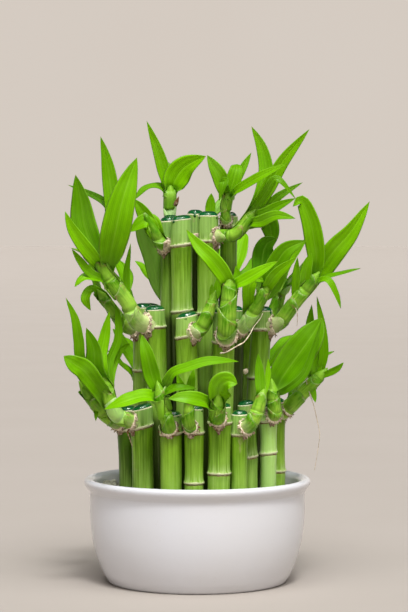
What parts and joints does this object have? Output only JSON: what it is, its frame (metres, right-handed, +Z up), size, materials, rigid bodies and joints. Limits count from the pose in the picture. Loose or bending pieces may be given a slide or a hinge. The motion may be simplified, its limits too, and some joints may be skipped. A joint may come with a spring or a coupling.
{
  "type": "lucky bamboo arrangement",
  "caption": "Tiered tower of cut dracaena canes with leafy side shoots, standing in gravel in a round white bowl.",
  "frame": {"origin": "on the bowl's axis, at the flat underside that the bowl stands on", "axes": "+Z up along the canes; the front of the arrangement, as pictured, faces -Y; +X is to the viewer's right"},
  "size_m": [0.17, 0.1514, 0.2585],
  "materials": {
    "bowl_glaze": "smooth white gloss glaze",
    "gravel": "small pale pebbles, damp",
    "cane": "smooth living green skin with pale node rings and dark green wax on the cut top",
    "shoot": "satin living leaf with fine parallel veins"
  },
  "bodies": {
    "root": {"bowl": "bowl_glaze", "gravel": "gravel", "lower_cane_01": "cane", "lower_cane_02": "cane", "lower_cane_03": "cane", "lower_cane_04": "cane", "lower_cane_05": "cane", "lower_cane_06": "cane", "lower_cane_07": "cane", "lower_cane_08": "cane", "lower_cane_09": "cane", "lower_cane_10": "cane", "lower_cane_11": "cane", "lower_cane_12": "cane", "lower_cane_13": "cane", "lower_cane_14": "cane", "lower_shoot_01": "shoot", "lower_shoot_02": "shoot", "lower_shoot_03": "shoot", "lower_shoot_04": "shoot", "lower_shoot_05": "shoot", "lower_shoot_06": "shoot", "lower_shoot_08": "shoot", "lower_shoot_09": "shoot", "lower_shoot_10": "shoot", "lower_shoot_11": "shoot", "lower_shoot_12": "shoot", "lower_shoot_13": "shoot", "lower_shoot_14": "shoot", "middle_cane_01": "cane", "middle_cane_02": "cane", "middle_cane_03": "cane", "middle_cane_04": "cane", "middle_cane_05": "cane", "middle_cane_06": "cane", "middle_cane_07": "cane", "middle_cane_08": "cane", "middle_cane_09": "cane", "middle_cane_10": "cane", "middle_shoot_01": "shoot", "middle_shoot_02": "shoot", "middle_shoot_03": "shoot", "middle_shoot_04": "shoot", "middle_shoot_05": "shoot", "middle_shoot_06": "shoot", "middle_shoot_07": "shoot", "middle_shoot_08": "shoot", "middle_shoot_09": "shoot", "middle_shoot_10": "shoot", "tall_cane_01": "cane", "tall_cane_02": "cane", "tall_cane_03": "cane", "tall_cane_04": "cane", "tall_cane_05": "cane", "tall_cane_06": "cane", "tall_shoot_01": "shoot", "tall_shoot_03": "shoot", "tall_shoot_04": "shoot", "tall_shoot_05": "shoot", "tall_shoot_06": "shoot"}
  },
  "joints": []
}
